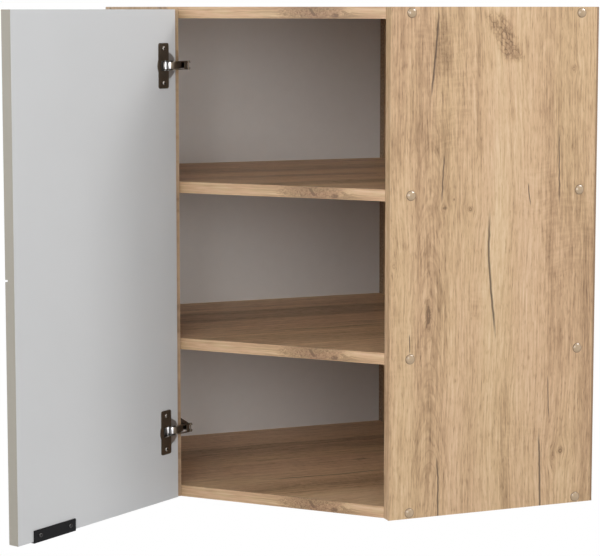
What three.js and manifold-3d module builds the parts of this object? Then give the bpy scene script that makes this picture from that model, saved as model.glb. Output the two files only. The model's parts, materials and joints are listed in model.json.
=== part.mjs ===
// Corner wall cabinet: five-sided carcass of 16 mm board with three open compartments,
// and one door on two concealed hinges, shown open.
// Millimetres, +Z up. The origin is the corner of the room's two walls at the cabinet's underside:
// the cabinet reaches along +X on the right wall (the plane Y = 0) and along -Y on the left wall (X = 0).
import * as THREE from 'three';
import { mergeVertices } from 'three/addons/utils/BufferGeometryUtils.js';
import Module from 'manifold-3d';

const wasm = await Module();
wasm.setup();

// ---------- driving dimensions ----------

const height = 700;
const wallWidth = 553; // along each wall, with the back
const sideDepth = 316; // of each side, with the back
const board = 16;
const backThickness = 3;
const edgeBand = 1;
const glueLine = 0.1; // between a band or a fitting and the board that it lies on
const boreRoom = 2; // a blind bore goes this much deeper than its screw

const lowerSpace = 198; // clear height under the lower shelf
const middleSpace = 208;
const postWidth = 88; // of the board in the rear corner

const screwFront = 31; // screws from the front edge of a side
const screwRear = 27;
const screwRadius = 3.4;
const screwLength = 50;
const capRadius = 7;
const capHeight = 2.2;

const doorSideGap = 3.5; // door edge to the end of the diagonal front
const doorBottomGap = 2.5;
const doorTopGap = 3.5;
const doorThickness = 16;
const doorOpenAngle = 102; // degrees, from closed
const grooveWidth = 3;
const grooveDepth = 4.5;

const upperHingeFromTop = 81.5; // hinge centres from the cabinet's top and underside
const lowerHingeFromBottom = 101;
const cupEdgeDistance = 20.5; // cup centre from the door's edge
const cupRadius = 17.5;
const cupDepth = 13.4;
const plateSetback = 37; // mounting plate centre behind the side's front edge
const plateScrew = 16; // screws above and below the hinge's centre
const screwBore = 1.9;
const pilotDepth = 11; // of the small fittings' screw bores in the boards
const sheet = 1.2;

const pullLength = 80;
const pullCentre = 69; // from the door's free edge
const pullPlateHeight = 15;
const pullThickness = 2;
const pullLip = 18; // how far it stands in front of the door
const pullScrewSpacing = 58;

const fit = 0.3; // running clearance between moving pieces

// ---------- derived places ----------

const lowerShelfBottom = board + lowerSpace;
const upperShelfBottom = lowerShelfBottom + board + middleSpace;
const levels = {
  bottom_panel: 0,
  lower_shelf: lowerShelfBottom,
  upper_shelf: upperShelfBottom,
  top_panel: height - board,
};
const innerFace = wallWidth - board; // of each side, from the other wall's plane
const screwDepths = [sideDepth - screwFront, screwRear];
const frontCorner = new THREE.Vector2(sideDepth, board - wallWidth); // the left side's inner front corner
const frontLength = (wallWidth - sideDepth - board) * Math.SQRT2; // of a shelf's front edge
const doorWidth = (wallWidth - sideDepth) * Math.SQRT2 - 2 * doorSideGap;
const doorHeight = height - doorBottomGap - doorTopGap;
const hingeLevels = { upper: height - upperHingeFromTop, lower: lowerHingeFromBottom };

// ---------- materials ----------

function material(color, roughness, metalness = 0) {
  return new THREE.MeshStandardMaterial({ color, roughness, metalness });
}

const oakBoard = material(0xc9ab84, 0.55);
const oakEdge = material(0xd8b88c, 0.5);
const greyBack = material(0xcfcbc8, 0.6);
const doorFinish = material(0xd2d2d0, 0.45);
const bronze = material(0x4a4038, 0.35, 0.8);
const steel = material(0xb9bcbf, 0.25, 0.95);
const blackMetal = material(0x1c1c1d, 0.4, 0.5);
const beigePlastic = material(0xdcc09a, 0.35);
const whitePlastic = material(0xe8e6e0, 0.45);

// ---------- helpers ----------

const cabinet = new THREE.Group();

function add(parent, name, geometry, look, position = [0, 0, 0], turn = [0, 0, 0]) {
  const mesh = new THREE.Mesh(geometry, look);
  mesh.name = name;
  mesh.position.set(...position);
  mesh.rotation.set(...turn);
  parent.add(mesh);
  return mesh;
}

// A box between two corners.
function block(low, high) {
  const size = high.map((value, axis) => value - low[axis]);
  const geometry = new THREE.BoxGeometry(...size);
  return geometry.translate(...low.map((value, axis) => value + size[axis] / 2));
}

// The points of an outline, without the ones that arcs and lines share.
function distinct(points) {
  return points.filter((point, i) => point.distanceTo(points.at(i - 1)) > 1e-3);
}

// A plan outline raised along Z from one level to another.
function raise(shape, low, high, curveSegments = 10) {
  const found = shape.extractPoints(curveSegments);
  const rim = distinct(found.shape);
  if (THREE.ShapeUtils.isClockWise(rim)) rim.reverse();
  const clean = new THREE.Shape(rim);
  clean.holes = found.holes.map((hole) => new THREE.Path(distinct(hole)));
  const geometry = new THREE.ExtrudeGeometry(clean, { depth: high - low, bevelEnabled: false });
  return geometry.translate(0, 0, low);
}

function rod(radius, start, end, sides = 20) {
  const path = end.clone().sub(start);
  const geometry = new THREE.CylinderGeometry(radius, radius, path.length(), sides);
  const turn = new THREE.Quaternion().setFromUnitVectors(at(0, 1, 0), path.clone().normalize());
  geometry.applyQuaternion(turn);
  return geometry.translate(...start.clone().add(end).multiplyScalar(0.5).toArray());
}

// A turned piece about +Y, from [radius, level] points.
function turned(profile, sides) {
  return new THREE.LatheGeometry(profile.map(([radius, level]) => new THREE.Vector2(radius, level)), sides);
}

function solid(geometry) {
  const bare = geometry.clone();
  bare.deleteAttribute('normal');
  bare.deleteAttribute('uv');
  const merged = mergeVertices(bare, 1e-4);
  const mesh = new wasm.Mesh({
    numProp: 3,
    vertProperties: new Float32Array(merged.attributes.position.array),
    triVerts: new Uint32Array(merged.index.array),
  });
  return new wasm.Manifold(mesh);
}

function geometryOf(manifold) {
  const mesh = manifold.getMesh();
  const geometry = new THREE.BufferGeometry();
  geometry.setAttribute('position', new THREE.BufferAttribute(mesh.vertProperties, 3));
  geometry.setIndex(new THREE.BufferAttribute(mesh.triVerts, 1));
  return geometry;
}

// One body: the first geometry with the others joined on, less the cuts.
function carve(joined, cuts = []) {
  let body = solid(joined[0]);
  for (const piece of joined.slice(1)) body = body.add(solid(piece));
  for (const cut of cuts) body = body.subtract(solid(cut));
  return geometryOf(body);
}

function at(x, y, z) {
  return new THREE.Vector3(x, y, z);
}

function roundHole(x, y, radius) {
  return new THREE.Path().absarc(x, y, radius, 0, 2 * Math.PI, true);
}

function outline(points) {
  return new THREE.Shape(points.map(([x, y]) => new THREE.Vector2(x, y)));
}

// A sheet link in plan: a smooth band along the given points with a round eye at each end.
function linkShape(points, halfWidth, startEye, endEye) {
  const curve = new THREE.SplineCurve(points.map(([x, y]) => new THREE.Vector2(x, y)));
  const steps = 14;
  const left = [];
  const right = [];
  for (let i = 1; i < steps; i += 1) {
    const centre = curve.getPoint(i / steps);
    const along = curve.getTangent(i / steps);
    left.push(new THREE.Vector2(centre.x - along.y * halfWidth, centre.y + along.x * halfWidth));
    right.unshift(new THREE.Vector2(centre.x + along.y * halfWidth, centre.y - along.x * halfWidth));
  }
  const start = curve.getPoint(0);
  const end = curve.getPoint(1);
  const eye = (centre, radius, from, to) => {
    const first = Math.atan2(from.y - centre.y, from.x - centre.x);
    let last = Math.atan2(to.y - centre.y, to.x - centre.x);
    while (last > first) last -= 2 * Math.PI;
    return Array.from({ length: 11 }, (_, i) => {
      const angle = first + ((last - first) * i) / 10;
      return new THREE.Vector2(centre.x + radius * Math.cos(angle), centre.y + radius * Math.sin(angle));
    });
  };
  const shape = new THREE.Shape([
    ...left,
    ...eye(end, endEye.outer, left.at(-1), right[0]),
    ...right,
    ...eye(start, startEye.outer, right.at(-1), left[0]),
  ]);
  if (startEye.hole) shape.holes.push(roundHole(start.x, start.y, startEye.hole));
  if (endEye.hole) shape.holes.push(roundHole(end.x, end.y, endEye.hole));
  return shape;
}

// ---------- carcass ----------

// The places of the screws in a side: [distance from the rear wall plane, level].
function screwPlaces() {
  const rows = Object.values(levels).map((level) => level + board / 2);
  return rows.flatMap((level) => screwDepths.map((depth) => [depth, level]));
}

function sidePanels() {
  const shape = new THREE.Shape();
  shape.moveTo(backThickness, 0);
  shape.lineTo(sideDepth - edgeBand - glueLine, 0);
  shape.lineTo(sideDepth - edgeBand - glueLine, height);
  shape.lineTo(backThickness, height);
  shape.closePath();
  for (const [depth, level] of screwPlaces()) shape.holes.push(roundHole(depth, level, screwRadius + fit));
  // The outline's X is the distance from the rear wall and its Y is the level.
  const side = raise(shape, 0, board);
  const right = side.clone().applyMatrix4(
    new THREE.Matrix4().set(0, 0, 1, innerFace, -1, 0, 0, 0, 0, 1, 0, 0, 0, 0, 0, 1));
  flip(right);
  add(cabinet, 'right_side_panel', right, oakBoard);
  const left = side.clone().applyMatrix4(
    new THREE.Matrix4().set(1, 0, 0, 0, 0, 0, 1, -wallWidth, 0, 1, 0, 0, 0, 0, 0, 1));
  flip(left);
  const plateBores = Object.values(hingeLevels).flatMap((level) => [-1, 1].map((end) => {
    const mouth = at(frontCorner.x - plateSetback, frontCorner.y + 1, level + end * plateScrew);
    return rod(screwBore, mouth, mouth.clone().setY(frontCorner.y - pilotDepth), 12);
  }));
  add(cabinet, 'left_side_panel', carve([left], plateBores), oakBoard);

  const bandRear = sideDepth - edgeBand;
  const rightBand = block([innerFace, -sideDepth, 0], [wallWidth, -bandRear, height]);
  const leftBand = block([bandRear, -wallWidth, 0], [sideDepth, -innerFace, height]);
  add(cabinet, 'right_side_edge', rightBand, oakEdge);
  add(cabinet, 'left_side_edge', leftBand, oakEdge);
}

// Turns the triangles of a mirrored geometry so that they face out again.
function flip(geometry) {
  const index = geometry.index;
  const count = index ? index.count : geometry.attributes.position.count;
  const order = Array.from({ length: count }, (_, i) => (index ? index.getX(i) : i));
  for (let i = 0; i < count; i += 3) [order[i + 1], order[i + 2]] = [order[i + 2], order[i + 1]];
  geometry.setIndex(order);
}

// A deck in plan. The shelves leave room for the post in the rear corner.
function deckShape(notched) {
  const inset = (edgeBand + glueLine) * Math.SQRT2;
  const postFace = backThickness + board;
  const postEnd = backThickness + postWidth;
  const rearCorner = notched
    ? [[postFace, -backThickness], [postFace, -postEnd], [backThickness, -postEnd]]
    : [[backThickness, -backThickness]];
  return outline([
    [backThickness, -innerFace],
    [sideDepth - inset, -innerFace],
    [innerFace, inset - sideDepth],
    [innerFace, -backThickness],
    ...rearCorner,
  ]);
}

function decks() {
  const boreEnd = innerFace - (screwLength - board) - boreRoom;
  for (const [name, level] of Object.entries(levels)) {
    const centre = level + board / 2;
    const bores = screwDepths.flatMap((depth) => [
      rod(screwRadius + fit, at(boreEnd, -depth, centre), at(wallWidth, -depth, centre), 16),
      rod(screwRadius + fit, at(depth, -boreEnd, centre), at(depth, -wallWidth, centre), 16),
    ]);
    const body = raise(deckShape(name.endsWith('shelf')), level, level + board);
    add(cabinet, name, carve([body], bores), oakBoard);
    const band = block([glueLine, 0, level], [frontLength - glueLine, edgeBand, level + board]);
    add(cabinet, `${name}_edge`, band, oakEdge, [frontCorner.x, frontCorner.y, 0], [0, 0, Math.PI / 4]);
  }
}

// The board that stands in the rear corner and carries the edges of both back panels.
function cornerPost() {
  const low = [backThickness, -backThickness - postWidth, board];
  const high = [backThickness + board, -backThickness, height - board];
  add(cabinet, 'rear_corner_post', block(low, high), oakBoard);
}

// ---------- back and wall hangers ----------

const hangerWidth = 19;
const hangerHeight = 54;
const hangerDepth = 18;
const hangerWall = 4;
const hookThickness = 2;
const slotWidth = 20;
const slotMargin = 4;

// A back panel lies flat on its wall, with a slot for the hanger's hook near its far upper corner.
function backPanels() {
  const hangerTop = height - board;
  const plate = (length) => {
    const shape = outline([[0, 0], [length, 0], [length, height], [0, height]]);
    const right = length - board - slotMargin;
    const left = right - slotWidth;
    const low = hangerTop - hangerHeight + slotMargin;
    const high = hangerTop - slotMargin;
    shape.holes.push(new THREE.Path([[left, low], [left, high], [right, high], [right, low]]
      .map(([x, y]) => new THREE.Vector2(x, y))));
    return raise(shape, 0, backThickness);
  };
  add(cabinet, 'right_back_panel', plate(wallWidth).rotateX(Math.PI / 2), greyBack);
  const left = plate(wallWidth - backThickness).rotateX(Math.PI / 2).rotateZ(-Math.PI / 2);
  add(cabinet, 'left_back_panel', left, greyBack, [backThickness, -backThickness, 0]);
}

// A hanger is a plastic box screwed to a side's inner face, with a steel hook that reaches through the back.
// Hanger frame: X points into the cabinet from the side's inner face, Y to the wall, and Z = 0 is its top.
function hanger(name, place, turn, mirror) {
  const rear = -backThickness - glueLine;
  const front = rear - hangerDepth;
  const pocketFloor = front + hangerWall;
  const body = carve(
    [block([glueLine, front, -hangerHeight], [hangerWidth, rear, -2])],
    [block([hangerWall, pocketFloor, 6 - hangerHeight], [hangerWidth - 2.5, rear + 1, -8])],
  );
  const shankLow = -30;
  const shankHigh = -24;
  const hookTip = -16;
  const hookProfile = outline([
    [pocketFloor + fit, shankLow],
    [pocketFloor + fit, shankHigh],
    [-1.2, shankHigh],
    [-1.2, hookTip],
    [-glueLine, hookTip],
    [-glueLine, shankLow],
  ]);
  const hookSide = Math.max(hangerWall, slotMargin) + fit;
  const hook = raise(hookProfile, hookSide, hookSide + hookThickness).applyMatrix4(
    new THREE.Matrix4().set(0, 0, 1, 0, 1, 0, 0, 0, 0, 1, 0, 0, 0, 0, 0, 1));
  const group = new THREE.Group();
  group.position.set(...place);
  group.rotation.z = turn;
  group.scale.x = mirror ? -1 : 1;
  cabinet.add(group);
  add(group, `${name}_hanger_body`, body, whitePlastic);
  add(group, `${name}_hanger_hook`, hook, steel);
}

// ---------- screws ----------

// A screw with its cap, along +Z, with the cap's flat side at Z = 0 and the shank below.
function screwGeometry() {
  const profile = [
    [0, glueLine - screwLength],
    [screwRadius * 0.6, glueLine - screwLength],
    [screwRadius, 3 - screwLength],
    [screwRadius, glueLine],
    [capRadius, glueLine],
    [capRadius, glueLine + capHeight * 0.3],
    [capRadius * 0.86, glueLine + capHeight * 0.68],
    [capRadius * 0.5, glueLine + capHeight * 0.94],
    [0, glueLine + capHeight],
  ];
  return turned(profile, 14).rotateX(Math.PI / 2);
}

function carcassScrews() {
  const rows = Object.keys(levels).map((name) => (name === 'bottom_panel' ? 'bottom' : name));
  screwPlaces().forEach(([depth, level], index) => {
    const row = rows[Math.floor(index / 2)];
    const place = `${row}_${index % 2 ? 'rear' : 'front'}`;
    const right = screwGeometry().rotateY(Math.PI / 2);
    const left = screwGeometry().rotateX(Math.PI / 2);
    add(cabinet, `right_screw_${place}`, right, beigePlastic, [wallWidth, -depth, level]);
    add(cabinet, `left_screw_${place}`, left, beigePlastic, [depth, -wallWidth, level]);
  });
}

// ---------- door ----------

// Door frame: X runs along the door from its hinge edge, -Y into its thickness, and the inner face is Y = 0.
const openOffset = [13.18, -8.78]; // of the open door's hinge edge from the side's inner front corner
const openCorner = new THREE.Vector2(frontCorner.x + openOffset[0], frontCorner.y + openOffset[1]);
const door = new THREE.Group();
door.position.set(openCorner.x, openCorner.y, 0);
door.rotation.z = THREE.MathUtils.degToRad(45 - doorOpenAngle);
cabinet.add(door);

const cupPin = [6.43, -7.21]; // the outer link's pin in the cup, in the door frame
const deepPin = [11.65, -9.01]; // the inner link's pin
const flangeScrew = [26.5, 24]; // distance from the door's edge, and above or below the hinge's centre

function doorPanel() {
  const low = doorBottomGap;
  const panel = block([0, -doorThickness, low], [doorWidth, 0, low + doorHeight]);
  const middle = low + doorHeight / 2;
  const front = -doorThickness;
  const half = grooveWidth / 2;
  const cuts = [block([-1, front - 1, middle - half], [doorWidth + 1, front + grooveDepth, middle + half])];
  for (const level of Object.values(hingeLevels)) {
    const mouth = at(cupEdgeDistance, 1, level);
    cuts.push(rod(cupRadius, mouth, mouth.clone().setY(-cupDepth - fit), 40));
    for (const side of [-1, 1]) {
      const z = level + side * flangeScrew[1];
      cuts.push(rod(screwBore, at(flangeScrew[0], 1, z), at(flangeScrew[0], -pilotDepth, z), 12));
    }
  }
  for (const side of [-1, 1]) {
    const x = doorWidth - pullCentre + (side * pullScrewSpacing) / 2;
    const z = low + pullPlateHeight / 2;
    cuts.push(rod(screwBore, at(x, 1, z), at(x, -pilotDepth, z), 12));
  }
  add(door, 'door_panel', carve([panel], cuts), doorFinish);
}

// A black sheet profile: a plate on the inner face, a strip under the door's edge and a lip in front.
function edgePull() {
  const low = doorBottomGap;
  const left = doorWidth - pullCentre - pullLength / 2;
  const under = low - glueLine;
  const inner = glueLine;
  const outerLip = -doorThickness - pullLip;
  const profile = outline([
    [inner, low + pullPlateHeight],
    [inner, under],
    [outerLip + pullThickness, under],
    [outerLip + pullThickness, under + 4],
    [outerLip + 0.4, under + 4],
    [outerLip, under + 3.2],
    [outerLip, under - pullThickness + 1.6],
    [outerLip + 1, under - pullThickness + 0.4],
    [outerLip + 2, under - pullThickness],
    [inner + pullThickness - 1, under - pullThickness],
    [inner + pullThickness - 0.3, under - pullThickness + 0.3],
    [inner + pullThickness, under - pullThickness + 1],
    [inner + pullThickness, low + pullPlateHeight - 0.6],
    [inner + pullThickness - 0.6, low + pullPlateHeight],
  ]);
  // The outline lies in the door's Y and Z, and runs along X.
  const strip = raise(profile, 0, pullLength).applyMatrix4(
    new THREE.Matrix4().set(0, 0, 1, left, 1, 0, 0, 0, 0, 1, 0, 0, 0, 0, 0, 1));
  const level = low + pullPlateHeight / 2;
  const holes = [-1, 1].map((side) => {
    const x = doorWidth - pullCentre + (side * pullScrewSpacing) / 2;
    return rod(screwBore, at(x, -1, level), at(x, 5, level), 12);
  });
  add(door, 'edge_pull', carve([strip], holes), blackMetal);
  for (const [index, side] of [-1, 1].entries()) {
    const x = doorWidth - pullCentre + (side * pullScrewSpacing) / 2;
    const screw = woodScrew(pullThickness + glueLine, 3.1);
    add(door, `edge_pull_screw_${index + 1}`, screw, steel, [x, 0, level]);
  }
}

// A pan-head screw along the door's Y with its head on a plate of the given height.
function woodScrew(seat, headRadius) {
  const top = seat + 0.05;
  const profile = [
    [0, -9.5],
    [0.9, -8],
    [1.6, -6],
    [1.6, top],
    [headRadius, top],
    [headRadius, top + 0.5],
    [headRadius * 0.7, top + 1.2],
    [0, top + 1.4],
  ];
  return turned(profile, 14);
}

// ---------- concealed hinges ----------

const pinRadius = 1;
const pocketHalf = 7; // half height of the cup's pocket
const pocketEnds = [4, 32]; // from the door's edge
const notch = [-2, 5]; // where the links leave through the cup's flange
const flangeRim = 1.3; // beyond the cup
const flangeWing = [16.3, 37.3]; // the upright plate's edges, from the door's edge
const flangeHeight = 63;
const flangeCorner = 3;
const outerPlate = [5, 6.2]; // the outer link's two plates, from the hinge's middle level
const armPlate = [3.5, 4.6];
const innerHalf = 4.7; // the inner link's wide part
const innerNeck = 3.1; // where it passes between the arm's walls
const armPivot = [7, 12.29]; // from the side's inner front corner
const armRearPivot = [-9.03, 4.77];
const innerLinkEnd = [12.65, -23.9]; // where the inner link's cup end comes with the door open
const linkHalf = 1.1; // half a link's thickness in plan
const outerLinkPath = [[-9, 5.4], [1, 3.2], [5.3, 1.9], [5.6, -2]]; // in the door frame, with the door open
const innerLinkPath = [[-16.4, -4], [-8, -0.2], [1, 2], [6.4, 1.8], [10.8, -1.2]];
const neckEnd = 5;

// Points of the door frame, seen from the side's inner front corner.
function fromDoor([x, y]) {
  const turn = door.rotation.z;
  const offset = openCorner.clone().sub(frontCorner);
  return [
    offset.x + x * Math.cos(turn) - y * Math.sin(turn),
    offset.y + x * Math.sin(turn) + y * Math.cos(turn),
  ];
}

// The cup with its flange, which is screwed to the door, and the pins of both links.
function hingeCup(name, level) {
  const flangeTop = sheet + glueLine;
  const flange = new THREE.Shape();
  flange.absarc(cupEdgeDistance, 0, cupRadius + flangeRim, 0, 2 * Math.PI, false);
  const cuts = [
    block([pocketEnds[0], sheet / 2 - cupDepth, -pocketHalf], [pocketEnds[1], flangeTop + 1, pocketHalf]),
    block([notch[0], 0, -pocketHalf], [notch[1], flangeTop + 1, pocketHalf]),
  ];
  const standing = (shape, low, high, segments) =>
    raise(shape, low, high, segments).rotateX(Math.PI / 2).translate(0, low + high, 0);
  const wing = new THREE.Shape();
  const [wingLow, wingHigh] = flangeWing;
  const reach = flangeHeight / 2;
  const corner = flangeCorner;
  wing.moveTo(wingLow + corner, -reach);
  wing.lineTo(wingHigh - corner, -reach);
  wing.absarc(wingHigh - corner, -reach + corner, corner, -Math.PI / 2, 0, false);
  wing.absarc(wingHigh - corner, reach - corner, corner, 0, Math.PI / 2, false);
  wing.absarc(wingLow + corner, reach - corner, corner, Math.PI / 2, Math.PI, false);
  wing.absarc(wingLow + corner, -reach + corner, corner, Math.PI, 1.5 * Math.PI, false);
  for (const side of [-1, 1]) {
    const mouth = at(flangeScrew[0], 3, side * flangeScrew[1]);
    cuts.push(rod(screwBore, mouth, mouth.clone().setY(-1), 12));
  }
  const pot = rod(cupRadius - fit / 2, at(cupEdgeDistance, -cupDepth, 0), at(cupEdgeDistance, sheet, 0), 40);
  const plates = [standing(flange, glueLine, flangeTop, 16), standing(wing, glueLine, flangeTop, 3)];
  const pins = [cupPin, deepPin].map(([x, y]) =>
    rod(pinRadius, at(x, y, -pocketHalf - 0.4), at(x, y, pocketHalf + 0.4), 12));
  const cup = carve([carve([pot, ...plates], cuts), ...pins]);
  add(door, `${name}_hinge_cup`, cup, bronze, [0, 0, level]);
  for (const [index, side] of [-1, 1].entries()) {
    add(door, `${name}_hinge_flange_screw_${index + 1}`, woodScrew(flangeTop, 3.2), steel,
      [flangeScrew[0], 0, level + side * flangeScrew[1]]);
  }
}

// The same plate below and above the hinge's middle level.
function twin(shape, [near, far], curveSegments) {
  return [raise(shape, -far, -near, curveSegments), raise(shape, near, far, curveSegments)];
}

// Two bent plates, riveted on the pin that turns in the arm's nose.
function outerLink(name, level) {
  const points = [armPivot, ...outerLinkPath.map(fromDoor), fromDoor(cupPin)];
  const shape = linkShape(points, linkHalf, { outer: 2.3 }, { outer: 1.9, hole: pinRadius + 0.2 });
  const plates = twin(shape, outerPlate, 6);
  const pin = rod(pinRadius, at(...armPivot, 0.2 - outerPlate[1]), at(...armPivot, outerPlate[1] - 0.2), 12);
  const link = carve([plates[0], pin, plates[1]]);
  add(cabinet, `${name}_hinge_outer_link`, link, bronze, [frontCorner.x, frontCorner.y, level]);
}

// One bent strip between the pin in the arm and the second pin in the cup.
function innerLink(name, level) {
  const points = [armRearPivot, ...innerLinkPath.map(fromDoor), innerLinkEnd];
  const armEye = { outer: 2.2, hole: pinRadius + 0.2 };
  const cupEye = { outer: 2.7, hole: 1.95 };
  const shape = linkShape(points, linkHalf, armEye, cupEye);
  const wide = raise(shape, -innerHalf, innerHalf, 6);
  const beyond = 2 * armTop;
  const neckBox = (low, high) => block([-beyond, -beyond / 4, low], [neckEnd, beyond, high]);
  const link = carve([wide], [neckBox(innerNeck, innerHalf + 1), neckBox(-innerHalf - 1, -innerNeck)]);
  add(cabinet, `${name}_hinge_inner_link`, link, steel, [frontCorner.x, frontCorner.y, level]);
}

const armLength = 66; // behind the side's front edge
const armTop = 13;
const armScrewPlaces = [-30, -plateSetback - 12]; // from the side's front edge
const armRear = 3.2; // how far the arm's walls stay off the side
const noseTop = 2.1; // how much the nose stands above the arm
const plateHeight = 48;
const plateWidth = 16;
const plateCorner = 4;
const ridgeHalf = 3.1;
const ridgeHeight = 8.2;
const ridgeReach = 14; // in front of the plate's screws

// A channel open to the side, with a nose that carries the outer link.
function hingeArm(name, level) {
  const side = new THREE.Shape();
  side.moveTo(-armLength, armRear);
  side.lineTo(armRearPivot[0] - 2, armRear - 0.6);
  side.absarc(armRearPivot[0], armRearPivot[1], 2.3, -Math.PI / 2, -0.9, false);
  side.absarc(armPivot[0], armPivot[1], 2.8, -0.9, Math.PI / 2, false);
  side.lineTo(2, armTop + noseTop);
  side.lineTo(-4, armTop);
  side.lineTo(-armLength, armTop);
  side.closePath();
  side.holes.push(roundHole(...armPivot, pinRadius + 0.2));
  const walls = twin(side, armPlate, 8);
  const web = block([-armLength, armTop - sheet, -armPlate[1]], [-2.5, armTop, armPlate[1]]);
  const pinEnd = armPlate[1] - 0.2;
  const pin = rod(pinRadius, at(...armRearPivot, -pinEnd), at(...armRearPivot, pinEnd), 12);
  const holes = armScrewPlaces.map((x) => rod(2.3, at(x, armTop - 3, 0), at(x, armTop + 1, 0), 14));
  const arm = carve([walls[0], web, walls[1], pin], holes);
  add(cabinet, `${name}_hinge_arm`, arm, bronze, [frontCorner.x, frontCorner.y, level]);
}

// The plate is screwed to the side, and the arm is clamped on its ridge.
function mountingPlate(name, level) {
  const wing = new THREE.Shape();
  const centreX = plateWidth / 2 - plateCorner;
  const centreY = plateHeight / 2 - plateCorner;
  wing.moveTo(-plateSetback - plateWidth / 2, -centreY);
  wing.absarc(-plateSetback - centreX, -centreY, plateCorner, Math.PI, 1.5 * Math.PI, false);
  wing.absarc(-plateSetback + centreX, -centreY, plateCorner, -Math.PI / 2, 0, false);
  wing.absarc(-plateSetback + centreX, centreY, plateCorner, 0, Math.PI / 2, false);
  wing.absarc(-plateSetback - centreX, centreY, plateCorner, Math.PI / 2, Math.PI, false);
  for (const side of [-1, 1]) wing.holes.push(roundHole(-plateSetback, side * plateScrew, screwBore));
  const wings = raise(wing, 0, 2).rotateX(Math.PI / 2).translate(0, 2, 0);
  const ridge = block([-armLength + 4, 0.5, -ridgeHalf], [ridgeReach - plateSetback, ridgeHeight, ridgeHalf]);
  // The clamping and the adjusting screw stand on the ridge and show in the arm's top.
  const profile = [[0, 7], [1.9, 7], [1.9, armTop + 0.1], [1.5, armTop + 0.5], [0, armTop + 0.5]];
  const screws = armScrewPlaces.map((x) => turned(profile, 14).translate(x, 0, 0));
  const plate = carve([wings, ridge, ...screws]);
  add(cabinet, `${name}_hinge_plate`, plate, bronze, [frontCorner.x, frontCorner.y, level]);
  for (const [index, side] of [-1, 1].entries()) {
    add(cabinet, `${name}_hinge_plate_screw_${index + 1}`, woodScrew(2, 3.4), steel,
      [frontCorner.x - plateSetback, frontCorner.y, level + side * plateScrew]);
  }
}

sidePanels();
decks();
cornerPost();
backPanels();
hanger('right', [innerFace, 0, height - board], 0, true);
hanger('left', [0, -innerFace, height - board], Math.PI / 2, false);
carcassScrews();
doorPanel();
edgePull();
for (const [name, level] of Object.entries(hingeLevels)) {
  hingeCup(name, level);
  outerLink(name, level);
  innerLink(name, level);
  hingeArm(name, level);
  mountingPlate(name, level);
}

export default cabinet;
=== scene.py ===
# Corner wall cabinet in oak-effect board, with its one door standing open on two concealed hinges.
# Metres, +Z up. The origin is the room's corner at the level of the cabinet's underside.
import json
import math
import bpy
from mathutils import Matrix, Vector


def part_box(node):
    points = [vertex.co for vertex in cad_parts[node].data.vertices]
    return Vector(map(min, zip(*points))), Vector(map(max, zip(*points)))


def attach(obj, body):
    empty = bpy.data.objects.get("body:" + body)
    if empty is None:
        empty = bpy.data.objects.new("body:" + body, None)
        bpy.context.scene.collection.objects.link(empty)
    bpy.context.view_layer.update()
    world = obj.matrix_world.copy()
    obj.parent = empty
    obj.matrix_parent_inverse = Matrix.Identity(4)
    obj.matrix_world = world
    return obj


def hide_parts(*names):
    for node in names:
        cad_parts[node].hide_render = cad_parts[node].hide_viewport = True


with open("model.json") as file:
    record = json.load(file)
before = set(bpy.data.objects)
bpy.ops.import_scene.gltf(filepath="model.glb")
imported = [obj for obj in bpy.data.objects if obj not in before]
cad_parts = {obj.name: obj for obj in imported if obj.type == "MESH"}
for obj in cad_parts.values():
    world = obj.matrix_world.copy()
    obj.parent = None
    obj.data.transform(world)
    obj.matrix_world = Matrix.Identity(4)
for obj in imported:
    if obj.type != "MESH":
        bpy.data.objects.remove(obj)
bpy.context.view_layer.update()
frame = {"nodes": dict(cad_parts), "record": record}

bpy.context.scene.view_settings.view_transform = "Standard"


# ---------- Studio ----------
# A wall cabinet hangs, so the pale floor lies well under it. Two lamps high on the right throw
# the cabinet's shadow on the open door, four broad ones soften it from the front and left, one
# on the side of the wall lights the back, and an even room fills the rest.

def look_along(place, direction):
    """The place and turn of a camera or lamp that looks in the given direction."""
    return Matrix.Translation(place) @ Vector(direction).to_track_quat("-Z", "Y").to_matrix().to_4x4()


camera = bpy.data.objects.new("camera", bpy.data.cameras.new("camera"))
bpy.context.scene.collection.objects.link(camera)
camera_place = (2.9949, -1.3973, 0.6986)
yaw, tilt = math.radians(21.285), math.radians(6.06)
camera.matrix_world = look_along(camera_place, (
    -math.cos(yaw) * math.cos(tilt), math.sin(yaw) * math.cos(tilt), -math.sin(tilt)))
camera.data.sensor_width = 36
camera.data.lens = 119.5
camera.data.shift_y = -0.098
bpy.context.scene.camera = camera


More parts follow.
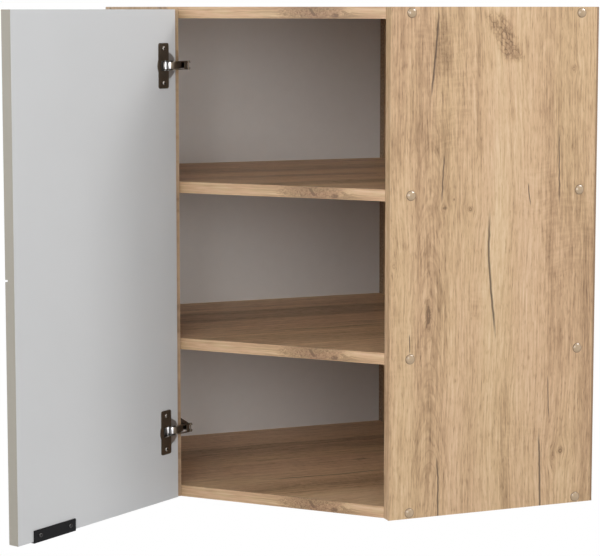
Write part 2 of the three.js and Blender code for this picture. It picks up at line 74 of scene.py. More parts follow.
class Wire:
    """A socket of a material's nodes. Arithmetic on wires adds Math nodes."""

    # A Mix node has its sockets once for each kind of value. These are the places of the colours'.
    mix_factor, mix_a, mix_b, mix_result = 0, 6, 7, 2

    def __init__(self, socket):
        self.socket = socket

    def node(self, kind, settings=None, inputs=None, output=0):
        tree = self.socket.id_data
        made = tree.nodes.new("ShaderNode" + kind)
        for name, value in (settings or {}).items():
            if name == "stops":
                ramp = made.color_ramp.elements
                while len(ramp) < len(value):
                    ramp.new(1)
                for stop, (place, colour) in zip(ramp, value):
                    stop.position = place
                    stop.color = (*colour, 1)
            else:
                setattr(made, name, value)
        for name, value in (inputs or {}).items():
            if isinstance(value, Wire):
                tree.links.new(value.socket, made.inputs[name])
            else:
                made.inputs[name].default_value = value
        return Wire(made.outputs[output])

    def maths(self, operation, *values):
        return self.node("Math", {"operation": operation}, dict(enumerate((self, *values))))

    def __add__(self, other):
        return self.maths("ADD", other)

    __radd__ = __add__

    def __sub__(self, other):
        return self.maths("SUBTRACT", other)

    def __rsub__(self, other):
        return self.maths("MULTIPLY_ADD", -1.0, other)

    def __mul__(self, other):
        return self.maths("MULTIPLY", other)

    __rmul__ = __mul__

    def __truediv__(self, other):
        return self.maths("DIVIDE", other)

    def __abs__(self):
        return self.maths("ABSOLUTE")

    def __gt__(self, other):
        return self.maths("GREATER_THAN", other)

    def step(self, low, high, mode="SMOOTHSTEP", to=(0.0, 1.0)):
        return self.node("MapRange", {"interpolation_type": mode}, {
            "Value": self, "From Min": low, "From Max": high, "To Min": to[0], "To Max": to[1]})

    def joined(self, y, z):
        return self.node("CombineXYZ", {}, {"X": self, "Y": y, "Z": z})

    def noise(self, scale=1.0, detail=2.0, roughness=0.5):
        return self.node("TexNoise", {}, {
            "Vector": self, "Scale": scale, "Detail": detail, "Roughness": roughness})

    def graded(self, stops):
        """This value as a colour, from a row of (value, colour) stops."""
        return self.node("ValToRGB", {"stops": stops}, {"Fac": self})

    def mixed(self, colour_a, colour_b):
        """This value as the factor between two colours."""
        pair = [colour if isinstance(colour, Wire) else (*colour, 1) for colour in (colour_a, colour_b)]
        return self.node("Mix", {"data_type": "RGBA"}, {
            self.mix_factor: self, self.mix_a: pair[0], self.mix_b: pair[1]}, self.mix_result)

    def tinted(self, tint):
        """This colour times another."""
        return self.node("Mix", {"data_type": "RGBA", "blend_type": "MULTIPLY"}, {
            self.mix_factor: 1.0, self.mix_a: self, self.mix_b: tint}, self.mix_result)


def new_finish(name, **constants):
    """A material with its constants on the shader's own sockets, and the wire of a point's place."""
    material = bpy.data.materials.new(name)
    material.use_nodes = True
    shader = material.node_tree.nodes["Principled BSDF"]
    for socket, value in constants.items():
        shader.inputs[socket.replace("_", " ")].default_value = value
    place = Wire(material.node_tree.nodes.new("ShaderNodeTexCoord").outputs["Object"])
    return material, shader, place


def seen_white(own_light, kind, share, surface):
    """Mixes plain white into what the camera and reflections see, beside a surface's own light."""
    rays = own_light.node("LightPath").socket.node.outputs
    seen = Wire(rays["Is Camera Ray"]) + Wire(rays["Is Glossy Ray"]) + Wire(rays["Is Transmission Ray"])
    white = own_light.node(kind, {}, {"Color": (1, 1, 1, 1), "Strength": 1.0})
    shown = white.node("MixShader", {}, {0: seen.maths("MINIMUM", 1.0) * share, 1: own_light, 2: white})
    shown.socket.id_data.links.new(shown.socket, surface)


def clear_selection():
    bpy.ops.object.select_all(action="DESELECT")


world = bpy.data.worlds.new("white_room")
bpy.context.scene.world = world
world.use_nodes = True
fill = world.node_tree.nodes["Background"]
fill.inputs["Color"].default_value = (1, 1, 1, 1)
fill.inputs["Strength"].default_value = 0.16
seen_white(Wire(fill.outputs[0]), "Background", 1.0, world.node_tree.nodes["World Output"].inputs["Surface"])

# The floor is plain white from far_edge outwards. Nearer, it keeps a part of the cabinet's shadow.
floor_level = -1.4
near_edge, far_edge, near_white = 0.8, 3.6, 0.72
clear_selection()
bpy.ops.mesh.primitive_plane_add(size=60, location=(0, 0, floor_level))
floor = bpy.context.object
floor.name = "studio_floor"
floor_paint, floor_shader, floor_place = new_finish(
    "studio_floor", Base_Color=(0.8, 0.8, 0.8, 1), Roughness=0.9)
distance = floor_place.node("VectorMath", {"operation": "LENGTH"}, {0: floor_place}, output="Value")
white_share = distance.step(near_edge, far_edge, to=(near_white, 1.0))
seen_white(Wire(floor_shader.outputs[0]), "Emission", white_share,
           floor_paint.node_tree.nodes["Material Output"].inputs["Surface"])
floor.data.materials.append(floor_paint)

# Each lamp has its place, its direction, its side in metres and its power in watts.
lamps = {
    "front_lamp": ((3.6, -0.7, 0.7), (-1, 0.08, -0.1), 1.2, 24),
    "high_lamp": ((1.6, 2.0, 2.0), (-0.42, -1, -0.62), 0.8, 36),
    "right_lamp": ((2.4, 1.6, 2.2), (-0.9, -0.9, -0.75), 0.8, 20),
    "opening_lamp": ((2.45, -2.15, 1.1), (-1, 0.85, -0.31), 1.3, 22),
    "shelf_lamp": ((3.3, -1.9, 2.4), (-1, 0.5, -0.62), 1.2, 7),
    "left_lamp": ((1.2, -3.6, 1.2), (-0.22, 1, -0.25), 1.6, 31),
    "wall_lamp": ((-2.2, 2.0, 1.6), (1, -0.9, -0.4), 2.0, 25),
}
for name, (place, direction, size, power) in lamps.items():
    lamp = bpy.data.objects.new(name, bpy.data.lights.new(name, "AREA"))
    bpy.context.scene.collection.objects.link(lamp)
    lamp.matrix_world = look_along(place, direction)
    lamp.data.size = size
    lamp.data.energy = power


# ---------- Carcass boards ----------
# Chipboard, 16 mm, with oak-effect laminate pressed on both faces: a printed rustic oak with
# knots, dark cracks, heartwood streaks and short open pores. Cut edges that stay bare show chips.

oak_light = (0.730, 0.548, 0.352)
oak_mid = (0.610, 0.418, 0.244)
oak_dark = (0.400, 0.258, 0.142)
oak_deep = (0.205, 0.125, 0.070)
oak_stops = [(0.0, oak_deep), (0.30, oak_dark), (0.62, oak_mid), (0.95, oak_light)]
crack_brown = (0.085, 0.052, 0.032)
chip_stops = [(0.30, (0.13, 0.078, 0.045)), (0.50, (0.30, 0.20, 0.12)), (0.72, (0.56, 0.42, 0.28))]


def feed(shader, socket, wire):
    shader.id_data.links.new(wire.socket, shader.inputs[socket])


def relief(shader, height, depth):
    """A fine relief, whose height is in parts of the given depth."""
    feed(shader, "Normal", height.node("Bump", {}, {"Height": height, "Distance": depth}))


def axes_of(vector):
    split = vector.node("SeparateXYZ", {}, {"Vector": vector})
    outputs = split.socket.node.outputs
    return [Wire(outputs[axis]) for axis in "XYZ"]


def facing(place):
    """How far the surface faces along each axis."""
    return axes_of(Wire(place.socket.node.outputs["Normal"]))


def paint(node, material):
    frame["nodes"][node].data.materials.clear()
    frame["nodes"][node].data.materials.append(material)


def grain(u, v, waves, level, detail=2.0, roughness=0.5):
    """Noise with so many waves a metre along u and along v. Each level has a pattern of its own."""
    return (u * waves[0]).joined(v * waves[1], level).noise(1.0, detail, roughness)


def crack(across, along, points, width):
    """Dark along a broken line of (across, along) points, fading at both ends."""
    faded_share, wander_width = 0.22, 0.002
    centre = along.step(points[0][1], points[1][1], "LINEAR", (points[0][0], points[1][0]))
    for (u0, v0), (u1, v1) in zip(points[1:], points[2:]):
        centre = centre + along.step(v0, v1, "LINEAR", (0.0, u1 - u0))
    low, high = sorted((points[0][1], points[-1][1]))
    fade = faded_share * (high - low)
    inside = along.step(low, low + fade) * along.step(high, high - fade)
    wander = along.joined(0.0, 0.0).noise(60.0, 1.0) - 0.5
    aside = abs(across - centre + wander * wander_width)
    return aside.step(width * 0.8, width * 0.2) * inside


def oak_finish(name, across, along, seed, cracks=(), knots=(), streaks=(), smears=(), hearts=(),
               shade=1.0, bare=None):
    """Laminate with its grain along one axis. A place is u across the grain and v along it, and the
    print's features are where the lists say: cracks (points, width), knots (u, v, half width, half
    length, darkness), streaks (u, half width, v range, depth), cloudy smears (points, width, depth,
    share of curls) and hearts, which are bands of nested arches (u, half width, v range, drop,
    depth). The faces across the bare axis show the chipboard."""
    material, shader, place = new_finish(name, Specular_IOR_Level=0.35)
    axes = dict(zip("XYZ", axes_of(place)))
    u, v = axes[across], axes[along]
    rest = axes[next(axis for axis in "XYZ" if axis not in (across, along))]
    layer = rest * 9.0 + seed

    # The grain's lines flow round the knots, and a knot has ragged dark outlines.
    flow = u
    knot_dark = u * 0.0
    ragged = grain(u, v, (260.0, 260.0), layer) - 0.5
    for knot_u, knot_v, half_width, half_length, darkness in knots:
        du = (u - knot_u) / half_width
        dv = (v - knot_v) / half_length
        spread = du * du + dv * dv
        flow = flow - (u - knot_u) / (spread * 0.35 + 1.0)
        outlines = (spread.maths("SQRT") * 9.0 + ragged * 4.0 + 2.5).maths("COSINE") * 0.36 + 0.64
        blot = (spread + ragged * 1.5).step(1.5, 0.3) * outlines * darkness
        knot_dark = knot_dark.maths("MAXIMUM", blot)

    # The print, from its broad bands down to its fibres and pores. Ripples cross it in places.
    waves = grain(flow, v, (7.0, 1.7), layer) - 0.5
    line = flow + waves * 0.035
    broad = grain(line, v, (17.0, 0.9), layer + 4.0, 2.0, 0.55) - 0.5
    rings = grain(line, v, (115.0, 2.2), layer + 8.0, 3.0, 0.6) - 0.5
    fleck = grain(line, v, (300.0, 44.0), layer + 3.0, 3.0, 0.65) - 0.5
    fibre = grain(line, v, (430.0, 15.0), layer + 2.0, 2.0, 0.6) - 0.5
    ripple = (u * 36.0).joined(v * 210.0 + waves * 14.0, layer + 5.0).noise() - 0.5
    rippled = grain(u, v, (10.0, 6.0), layer + 7.0, 1.0).step(0.52, 0.66)
    pores = grain(line, v, (640.0, 78.0), layer + 6.0, 1.0).step(0.56, 0.72)
    tone = broad * 0.70 + rings * 0.58 + fleck * 0.62 + fibre * 0.90 + ripple * rippled * 0.25 + 0.60
    tone = tone - pores * 0.18 - knot_dark * 0.60

    # Streaks, hearts and smears darken it, each fading at its ends.
    streak_fade, heart_fade = 0.06, 0.04
    for streak_u, half_width, (low, high), depth in streaks:
        side = abs(line - streak_u).step(half_width, half_width * 0.55)
        inside = v.step(low, low + streak_fade) * v.step(high, high - streak_fade)
        tone = tone - side * inside * depth
    for heart_u, half_width, (low, high), drop, depth in hearts:
        side = (u - heart_u) / half_width
        arch = v + side * side * drop + waves * 0.03 + fleck * 0.006
        outline = abs(grain(arch, side, (33.0, 0.35), layer + 13.0) - 0.5).step(0.055, 0.0)
        inside = abs(side).step(1.0, 0.88) * v.step(low, low + heart_fade) * v.step(high, high - heart_fade)
        tone = tone - (outline + 0.5) * inside * depth
    if smears:
        cloud = grain(u, v, (210.0, 170.0), layer, 3.0, 0.65)
        curl = abs(grain(u, v, (120.0, 100.0), layer + 15.0, 1.5) - 0.5).step(0.08, 0.01)
    for points, width, depth, curls in smears:
        soft = cloud.step(0.25, 0.75) * (0.7 - curls) + 0.35
        tone = tone - crack(u, v, points, width) * (curl * curls + soft) * depth

    # The laminate's colours, its cracks and pores as hollows, and the chips of its cut edges.
    pink, straw = ([shade * part for part in cast] for cast in ((1.0, 0.972, 1.005), (0.995, 0.995, 0.985)))
    casts = grain(line, v, (12.0, 1.6), layer + 11.0).step(0.38, 0.62).mixed(pink, straw)
    colour = tone.graded(oak_stops).tinted(casts)
    hollow = pores * 0.5 + rings * 0.3 + knot_dark * 0.3 - fleck * 0.4
    for points, width in cracks:
        mask = crack(u, v, points, width)
        colour = (mask * 0.85).mixed(colour, crack_brown)
        hollow = hollow + mask
    if bare:
        cut = abs(facing(place)["XYZ".index(bare)]) > 0.5
        chips = (u * 330.0).joined(v * 330.0, rest * 330.0).noise(1.0, 2.0, 0.7)
        colour = cut.mixed(colour, chips.graded(chip_stops))
    feed(shader, "Base Color", colour)
    feed(shader, "Roughness", pores * 0.12 + 0.47)
    relief(shader, 1.0 - hollow, depth=0.00034)
    return material


paint("right_side_panel", oak_finish(
    "oak_right_side", across="Y", along="Z", seed=0.0, bare="Z",
    cracks=[
        ([(-0.2449, 0.700), (-0.2491, 0.643), (-0.2523, 0.612), (-0.2569, 0.570)], 0.0026),
        ([(-0.2354, 0.507), (-0.2376, 0.469), (-0.2390, 0.430)], 0.0018),
        ([(-0.1662, 0.430), (-0.1672, 0.359), (-0.1640, 0.321), (-0.1608, 0.291), (-0.1543, 0.235)], 0.0030),
        ([(-0.0868, 0.115), (-0.0846, 0.070), (-0.0824, -0.03)], 0.0026),
        ([(-0.2449, 0.090), (-0.2418, 0.054), (-0.2418, -0.02)], 0.0021),
        ([(-0.0604, 0.540), (-0.0593, 0.492), (-0.0582, 0.420)], 0.0016),
        ([(-0.2862, 0.258), (-0.2854, 0.228)], 0.0015),
        ([(-0.0736, 0.190), (-0.0703, 0.120)], 0.0013),
        ([(-0.1080, 0.460), (-0.1030, 0.425)], 0.0014),
    ],
    knots=[
        (-0.0382, 0.6146, 0.004, 0.005, 0.5), (-0.2206, 0.4385, 0.0016, 0.0022, 0.8),
        (-0.1957, 0.4245, 0.0042, 0.0045, 0.75), (-0.2344, 0.4271, 0.0035, 0.0022, 0.6),
        (-0.2576, 0.2814, 0.0045, 0.021, 0.9), (-0.3097, 0.3506, 0.004, 0.006, 0.45),
        (-0.0515, 0.0763, 0.0052, 0.0055, 0.7), (-0.0637, 0.068, 0.003, 0.007, 0.35),
        (-0.2164, 0.1876, 0.0018, 0.0028, 0.6),
    ],
    smears=[
        ([(-0.166, 0.700), (-0.1467, 0.6614), (-0.1275, 0.620)], 0.030, 0.66, 0.40),
        ([(-0.240, 0.690), (-0.2397, 0.6504), (-0.238, 0.600)], 0.024, 0.26, 0.0),
    ],
    hearts=[(-0.2560, 0.031, (0.03, 0.57), 0.11, 0.11)],
    streaks=[
        (-0.2700, 0.046, (0.47, 0.80), 0.17), (-0.2560, 0.031, (-0.1, 0.545), 0.06),
        (-0.0110, 0.016, (-0.05, 0.44), 0.15), (-0.1370, 0.011, (-0.1, 0.20), 0.20),
        (-0.1900, 0.006, (0.46, 0.75), 0.16),
    ]))
paint("left_side_panel", oak_finish(
    "oak_left_side", across="X", along="Z", seed=21.0, bare="Z",
    cracks=[
        ([(0.085, 0.700), (0.080, 0.610), (0.084, 0.540)], 0.0026),
        ([(0.205, 0.330), (0.201, 0.220)], 0.0024),
        ([(0.262, 0.12), (0.266, -0.02)], 0.0020),
    ],
    knots=[
        (0.150, 0.455, 0.005, 0.007, 0.7), (0.238, 0.565, 0.004, 0.018, 0.7),
        (0.060, 0.200, 0.004, 0.005, 0.6),
    ],
    streaks=[(0.110, 0.030, (-0.1, 0.60), 0.10), (0.280, 0.018, (0.2, 0.8), 0.12)]))

# Each deck is cut from another part of the same print, so that its crack and knot move along.
decks = ("bottom_panel", "lower_shelf", "upper_shelf", "top_panel")
for level, board in enumerate(decks):
    crack_shift, knot_shift = 0.03 * level, 0.02 * level
    # shade=1.2 lightens the decks' print above the sides' as painted light on their tops.
    paint(board, oak_finish(
        "oak_" + board, across="X", along="Y", seed=3.7 * level + 40.0, shade=1.2,
        cracks=[([(0.330 - crack_shift, -0.42), (0.336 - crack_shift, -0.30),
                  (0.331 - crack_shift, -0.21)], 0.0026)],
        knots=[(0.255 + knot_shift, -0.23, 0.006, 0.014, 0.6)],
        streaks=[(0.15, 0.05, (-0.7, 0.1), 0.20), (0.40, 0.03, (-0.7, 0.1), 0.16)]))
# The post's print is darkened to 0.8 as painted shade of the cabinet's back corner.
paint("rear_corner_post", oak_finish(
    "oak_post_painted_shade", across="Y", along="Z", seed=71.0, shade=0.8, bare="Y"))


# ---------- Edge bands ----------
# A 1 mm plastic strip, printed as the boards, is glued on each front edge. On the decks its
# grain runs level, and each strip was cut from the roll at the same knot.

paint("right_side_edge", oak_finish("oak_side_band", across="X", along="Z", seed=12.0, shade=0.96))
# The left band's print is darkened to 0.8 as painted shade, the shadow of the open door.
paint("left_side_edge", oak_finish("oak_left_band_painted_shade", across="X", along="Z", seed=15.0, shade=0.8))

band_start = (0.316, -0.537)  # the left side's inner front corner


def deck_band_finish(name, underside):
    """The strip's print, where s runs along the strip from the left side and z up from the
    underside. Its knot is a cloudy patch of spots with a dark slash and one round spot."""
    material, shader, place = new_finish(name, Roughness=0.42, Specular_IOR_Level=0.4)
    turned = place.node("Mapping", {"vector_type": "TEXTURE"}, {
        "Vector": place, "Location": (*band_start, underside), "Rotation": (0, 0, math.radians(45))})
    s, _, z = axes_of(turned)
    patch = s.step(0.145, 0.180) * s.step(0.275, 0.235)
    sway = grain(s, z, (9.0, 20.0), 3.0) - 0.5
    swirl = grain(s, z, (80.0, 130.0), 7.0, 2.0, 0.65) - 0.5
    line = z + sway * 0.010 + patch * swirl * 0.045
    rings = grain(s, line, (5.0, 330.0), 1.0, 3.0, 0.6) - 0.5
    fibre = grain(s, line, (36.0, 900.0), 5.0, 2.0, 0.6) - 0.5
    broad = grain(s, z, (8.0, 45.0), 9.0) - 0.5
    tone = broad * 0.6 + rings * 1.1 + fibre * 0.8 + 0.57 - patch * 0.19
    blotch = grain(s, z, (210.0, 260.0), 2.0, 2.0, 0.6)
    spots = (blotch.step(0.50, 0.66) * 0.45 + abs(blotch - 0.44).step(0.05, 0.0) * 0.75) * patch
    slash = crack(s, z, points=[(0.2010, 0.0145), (0.2085, 0.0025)], width=0.0036)
    spot_s, spot_z, spot_length, spot_height = 0.238, 0.004, 0.007, 0.004
    spot = (((s - spot_s) / spot_length).maths("POWER", 2.0)
            + ((z - spot_z) / spot_height).maths("POWER", 2.0))
    tone = tone - spots * 0.42 - slash * 0.60 - spot.step(1.0, 0.2) * 0.30
    casts = grain(s, z, (26.0, 90.0), 15.0).step(0.4, 0.6).mixed((0.95, 0.94, 0.93), (0.97, 0.91, 0.93))
    feed(shader, "Base Color", tone.graded(oak_stops).tinted(casts))
    relief(shader, tone, depth=0.00010)
    return material


for board in decks:
    paint(board + "_edge", deck_band_finish(board + "_band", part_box(board)[0].z))


# ---------- Back panels ----------
# Two sheets of thin hard fibreboard, slotted for the hangers' hooks and nailed on behind. They
# are smooth and pale grey on the inside, and bare, brown and fibrous on the outside.

for node, inward in (("right_back_panel", (0, -1)), ("left_back_panel", (1, 0))):
    back_paint, back_shader, back_place = new_finish(
        node + "_fibreboard", Roughness=0.62, Specular_IOR_Level=0.3)
    facing_x, facing_y, _ = facing(back_place)
    inside_face = facing_x * inward[0] + facing_y * inward[1] > 0.5
    mottle = back_place.noise(60.0, 3.0, 0.6)
    weave = back_place.noise(900.0, 2.0, 0.6)
    brown = (mottle * 0.6 + weave * 0.4).mixed((0.23, 0.145, 0.085), (0.36, 0.235, 0.14))
    grey = mottle.mixed((0.715, 0.700, 0.685), (0.755, 0.740, 0.725))
    feed(back_shader, "Base Color", inside_face.mixed(brown, grey))
    relief(back_shader, weave, depth=0.00004)
    paint(node, back_paint)


# ---------- Wall hangers ----------
# A moulded box in each far upper corner, screwed to the side, whose steel hook reaches out
# through a slot in the back and hangs over the rail on the wall.

hanger_paint, hanger_shader, hanger_place = new_finish("hanger_plastic", Roughness=0.42)
moulding = hanger_place.noise(400.0)
feed(hanger_shader, "Base Color", moulding.mixed((0.74, 0.73, 0.69), (0.80, 0.79, 0.75)))
relief(hanger_shader, moulding, depth=0.00003)


def metal_finish(name, dark, light, roughness, metallic=1.0):
    """Metal between two tones, finely specked and a little smeared. Its roughness varies evenly
    about the one given."""
    speck_rough, smear_rough = 0.10, 0.12
    material, shader, place = new_finish(name, Metallic=metallic)
    speck = place.noise(700.0, 3.0, 0.6)
    smear = place.noise(45.0)
    smoothest = roughness - (speck_rough + smear_rough) / 2
    feed(shader, "Base Color", (speck * 0.4 + smear * 0.6).mixed(dark, light))
    feed(shader, "Roughness", speck * speck_rough + smear * smear_rough + smoothest)
    relief(shader, speck, depth=0.00002)
    return material


bright_steel = metal_finish("bright_steel", (0.56, 0.56, 0.57), (0.72, 0.72, 0.73), roughness=0.24)
for wall in ("right", "left"):
    paint(wall + "_hanger_body", hanger_paint)
    paint(wall + "_hanger_hook", bright_steel)


# ---------- Cover caps ----------
# The decks are held by long screws through the sides. A domed cap of beige plastic is pressed
# over each head, and its thin rim is painted dark brown as the painted shade of the cap's outline.

cap_paint, cap_shader, cap_place = new_finish("cap_plastic", Roughness=0.12, Specular_IOR_Level=0.75)
feed(cap_shader, "Base Color", cap_place.noise(90.0).mixed((0.43, 0.303, 0.182), (0.49, 0.350, 0.212)))
relief(cap_shader, cap_place.noise(1500.0, 1.0), depth=0.00001)
# The rim's dark brown is painted shade: the dark outline round the cap's edge.
cap_shade_rim_paint, cap_shade_rim_shader, cap_shade_rim_place = new_finish("cap_painted_shade_rim", Roughness=0.45, Specular_IOR_Level=0.3)
feed(cap_shade_rim_shader, "Base Color", cap_shade_rim_place.noise(90.0).mixed((0.17, 0.115, 0.065), (0.21, 0.145, 0.085)))


def headed_screw(sides, radius, length, rings):
    """A round shank below z = 0 and a head above it. Each ring of the head is raised from the last
    one and resized by a factor."""
    facing_up = 0.9
    clear_selection()
    bpy.ops.mesh.primitive_cylinder_add(
        vertices=sides, radius=radius, depth=length, location=(0, 0, -length / 2))
    bpy.ops.object.transform_apply(location=True)
    model = bpy.context.object
    bpy.ops.object.mode_set(mode="EDIT")
    bpy.ops.mesh.select_mode(type="FACE")
    bpy.ops.mesh.select_all(action="DESELECT")
    bpy.ops.object.mode_set(mode="OBJECT")
    for face in model.data.polygons:
        face.select = face.normal.z > facing_up
    bpy.ops.object.mode_set(mode="EDIT")
    for rise, resize in rings:
        bpy.ops.mesh.extrude_region_move(TRANSFORM_OT_translate={"value": (0, 0, rise)})
        bpy.ops.transform.resize(value=(resize, resize, 1))
    bpy.ops.object.mode_set(mode="OBJECT")
    return model


cap_rings = ((0.0001, 1.0), (0.0, 2.03), (0.00012, 1.0), (0.00046, 0.899), (0.00045, 0.871),
             (0.00045, 0.815), (0.0004, 0.727), (0.0002, 0.563), (0.00012, 0.333))
cap_height = sum(rise for rise, resize in cap_rings)
shaded_rim_radius = 0.0060
cap_model = headed_screw(sides=40, radius=0.0034, length=0.049, rings=cap_rings)
bpy.ops.object.shade_smooth_by_angle(angle=math.radians(40))
cap_model.data.materials.append(cap_paint)
cap_model.data.materials.append(cap_shade_rim_paint)
# Faces beyond the rim radius take the painted-shade rim colour.
for face in cap_model.data.polygons:
    face.material_index = int(0 < face.center.z and face.center.xy.length > shaded_rim_radius)
for node in sorted(frame["nodes"]):
    if "_screw_" not in node or "hinge" in node or "pull" in node:
        continue
    low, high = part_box(node)
    seat = (low + high) / 2
    if node.startswith("right"):
        turn = Matrix.Rotation(math.pi / 2, 4, "Y")
        seat.x = high.x - cap_height
    else:
        turn = Matrix.Rotation(math.pi / 2, 4, "X")
        seat.y = low.y + cap_height
    cap = bpy.data.objects.new("cap_on_" + node, cap_model.data.copy())
    bpy.context.scene.collection.objects.link(cap)
    cap.data.transform(Matrix.Translation(seat) @ turn)
    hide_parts(node)
    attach(cap, "carcass")
bpy.data.objects.remove(cap_model)


# ---------- Door ----------
# A pressed board with a smooth light grey inner face. The front and the edges have a warmer
# stone-grey film, and a groove divides the front at half height.

flat_area = 0.00004  # larger faces are flat, so that the broken corners don't shade across them


def softened(node, name, width, body, material):
    """Puts a copy of a CAD piece, with its sharp corners broken, in place of the CAD piece."""
    piece = bpy.data.objects.new(name, frame["nodes"][node].data.copy())
    bpy.context.scene.collection.objects.link(piece)
    clear_selection()
    piece.select_set(True)
    bpy.context.view_layer.objects.active = piece
    bpy.ops.object.mode_set(mode="EDIT")
    bpy.ops.mesh.select_all(action="SELECT")
    bpy.ops.mesh.remove_doubles(threshold=0.00001)
    bpy.ops.mesh.dissolve_limited(angle_limit=math.radians(0.5))
    bpy.ops.object.mode_set(mode="OBJECT")
    edge = piece.modifiers.new("broken_edge", "BEVEL")
    edge.width = width
    edge.segments = 2
    edge.limit_method = "ANGLE"
    edge.angle_limit = math.radians(35)
    bpy.ops.object.modifier_apply(modifier=edge.name)
    bpy.ops.object.shade_smooth_by_angle(angle=math.radians(30))
    for face in piece.data.polygons:
        face.use_smooth = face.use_smooth and face.area < flat_area
    piece.data.materials.clear()
    piece.data.materials.append(material)
    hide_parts(node)
    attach(piece, body)


# The closed door lies across the corner at 45 degrees, and it stands open by the open angle.
open_angle = 102
door_way = math.radians(45 - open_angle)
inner_way = door_way + math.radians(90)
door_direction = Vector((math.cos(door_way), math.sin(door_way), 0))
inner_direction = Vector((math.cos(inner_way), math.sin(inner_way), 0))

door_paint, door_shader, door_place = new_finish("door_film", Roughness=0.42, Specular_IOR_Level=0.4)
door_facing_x, door_facing_y, _ = facing(door_place)
inner_face = door_facing_x * inner_direction.x + door_facing_y * inner_direction.y > 0.9
haze = door_place.noise(9.0)
inner_grey = haze.mixed((0.576, 0.582, 0.588), (0.604, 0.610, 0.616))
stone_grey = haze.mixed((0.358, 0.333, 0.283), (0.386, 0.361, 0.311))
feed(door_shader, "Base Color", inner_face.mixed(stone_grey, inner_grey))
relief(door_shader, door_place.noise(1400.0), depth=0.00002)
softened("door_panel", "door_board", 0.0006, "door", door_paint)


# ---------- Edge pull ----------
# A black sheet profile screwed to the inner face near the free lower corner. It reaches under
# the door's edge and turns up in front as a lip for the fingers.

pull_paint, pull_shader, pull_place = new_finish("pull_black", Specular_IOR_Level=0.1)
coat = pull_place.noise(1800.0)
feed(pull_shader, "Base Color", coat.mixed((0.007, 0.007, 0.008), (0.012, 0.012, 0.013)))
feed(pull_shader, "Roughness", coat * 0.15 + 0.42)
relief(pull_shader, coat, depth=0.00002)
softened("edge_pull", "edge_pull_profile", 0.0003, "door", pull_paint)


# ---------- Concealed hinges ----------
# Stamped and riveted from bronze-plated sheet: a cup sunk in the door, an arm clamped on a plate
# on the left side, and two links between them that fold into the cup as the door closes.

bronze = ((0.105, 0.082, 0.060), (0.185, 0.148, 0.112))
dark_bronze = metal_finish("dark_bronze", *bronze, roughness=0.36, metallic=0.9)
door_corners = [vertex.co for vertex in frame["nodes"]["door_panel"].data.vertices]
hinge_edge = min(corner.dot(door_direction) for corner in door_corners)


def part_bronze(name, roughness, metallic, reach, near=None, far=None):
    """Bronze with another colour nearer to or farther from the door's hinge edge than the reach."""
    metal = metal_finish(name, *bronze, roughness, metallic)
    shader = metal.node_tree.nodes["Principled BSDF"]
    plated = Wire(shader.inputs["Base Color"].links[0].from_socket)
    x, y, _ = axes_of(plated.node("TexCoord", output="Object"))
    beyond = x * door_direction.x + y * door_direction.y - hinge_edge > reach
    feed(shader, "Base Color", beyond.mixed(near or plated, far or plated))
    return metal


# The cup's round rim beside the upright flange is bare grey metal, as far as the flange's nearer
# edge. The inner link is painted near white in the cup as a painted highlight, and bronze up to the arm.
cup_metal = part_bronze(
    "cup_metal", roughness=0.36, metallic=0.9, reach=0.0162, near=(0.46, 0.455, 0.45))
# The near-white colour beyond the reach is a painted highlight, not a polish.
link_painted_highlight_metal = part_bronze(
    "link_painted_highlight_metal", roughness=0.33, metallic=0.85, reach=0.0108, far=(0.90, 0.90, 0.91))

# Each outer link is one stamping: a cross web joins its two plates behind the arm's nose. It lies
# along the line from the link's pivot to its bend, and a little aside of it.
link_bend = Vector((0.32881, -0.53529, 0))
web_near, web_far, web_thickness, web_height, web_aside = 0.0033, 0.0086, 0.001, 0.0099, 0.00055
joints = {joint["name"]: joint for joint in frame["record"]["behaviour"]["joints"]}
for level in ("upper", "lower"):
    pivot = Vector(joints[level + "_outer_link_turn"]["pos_m"])
    way = (link_bend - pivot.xy.to_3d()).normalized()
    aside = Vector((-way.y, way.x, 0))
    clear_selection()
    bpy.ops.mesh.primitive_cube_add(
        size=1, location=pivot + way * (web_near + web_far) / 2 + aside * web_aside,
        rotation=(0, 0, math.atan2(way.y, way.x)), scale=(web_far - web_near, web_thickness, web_height))
    bpy.ops.object.transform_apply(location=True, rotation=True, scale=True)
    bpy.ops.object.mode_set(mode="EDIT")
    bpy.ops.mesh.bevel(offset=0.0002, segments=2, affect="EDGES")
    bpy.ops.object.mode_set(mode="OBJECT")
    web = bpy.context.object
    web.name = level + "_outer_link_web"
    web.data.materials.append(dark_bronze)
    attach(web, level + "_outer_link")

for level in ("upper", "lower"):
    softened(level + "_hinge_cup", level + "_cup", 0.00025, "door", cup_metal)
    softened(level + "_hinge_outer_link", level + "_outer_link_plates", 0.0002,
             level + "_outer_link", dark_bronze)
    softened(level + "_hinge_inner_link", level + "_inner_link_strip", 0.0002,
             level + "_inner_link", link_painted_highlight_metal)
    softened(level + "_hinge_arm", level + "_arm_channel", 0.0003, "carcass", dark_bronze)
    softened(level + "_hinge_plate", level + "_plate", 0.0003, "carcass", dark_bronze)


# ---------- Small screws ----------
# Plated pan-head screws with a cross recess hold the cups and the plates. Blackened ones, with
# bright steel in the recess as a painted glint, hold the pull.

screw_nickel = metal_finish("screw_nickel", (0.20, 0.185, 0.17), (0.34, 0.32, 0.30), roughness=0.26)
screw_black = metal_finish("screw_black", (0.045, 0.044, 0.044), (0.085, 0.083, 0.082), roughness=0.2)

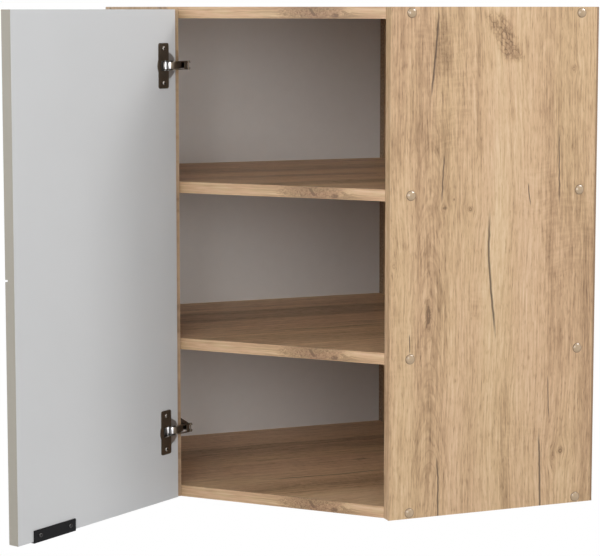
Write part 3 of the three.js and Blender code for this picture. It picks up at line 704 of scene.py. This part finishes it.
head_rings = ((0.00005, 1.0), (0.0, 2.0), (0.0005, 1.0), (0.00045, 0.9), (0.0003, 0.78), (0.0001, 0.5))
head_height = sum(rise for rise, resize in head_rings)
screw_model = headed_screw(sides=28, radius=0.0016, length=0.0095, rings=head_rings)

# The recess is cut by two crossed blades, and its faces are those inside its reach.
blade_size, blade_level, blade_turn = (0.0034, 0.0008, 0.0018), 0.0013, math.radians(20)
recess_floor, recess_top, recess_reach = 0.0002, 0.00125, 0.0018
for turn in (0, math.pi / 2):
    clear_selection()
    bpy.ops.mesh.primitive_cube_add(
        size=1, location=(0, 0, blade_level), rotation=(0, 0, turn + blade_turn), scale=blade_size)
    blade = bpy.context.object
    recess = screw_model.modifiers.new("recess", "BOOLEAN")
    recess.operation = "DIFFERENCE"
    recess.object = blade
    bpy.context.view_layer.objects.active = screw_model
    bpy.ops.object.modifier_apply(modifier=recess.name)
    bpy.data.objects.remove(blade)
clear_selection()
screw_model.select_set(True)
bpy.context.view_layer.objects.active = screw_model
bpy.ops.object.shade_smooth_by_angle(angle=math.radians(40))
for face in screw_model.data.polygons:
    in_recess = recess_floor < face.center.z < recess_top and face.center.xy.length < recess_reach
    face.material_index = int(in_recess)

small_screws = [f"edge_pull_screw_{i}" for i in (1, 2)]
for level in ("upper", "lower"):
    for i in (1, 2):
        small_screws += [f"{level}_hinge_flange_screw_{i}", f"{level}_hinge_plate_screw_{i}"]
for node in small_screws:
    on_side = "plate" in node
    out = Vector((0, 1, 0)) if on_side else inner_direction
    corners = [vertex.co for vertex in frame["nodes"][node].data.vertices]
    top = max(corner.dot(out) for corner in corners)
    centre = sum(corners, Vector()) / len(corners)
    seat = centre + out * (top - head_height - centre.dot(out))
    screw = bpy.data.objects.new("head_of_" + node, screw_model.data.copy())
    bpy.context.scene.collection.objects.link(screw)
    screw.data.transform(Matrix.Translation(seat) @ out.to_track_quat("Z", "X").to_matrix().to_4x4())
    screw.data.materials.clear()
    # On the pull's screws the recess takes bright steel, a painted glint on the black heads.
    for finish in (screw_black, bright_steel) if "pull" in node else (screw_nickel, screw_nickel):
        screw.data.materials.append(finish)
    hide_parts(node)
    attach(screw, "carcass" if on_side else "door")
bpy.data.objects.remove(screw_model)
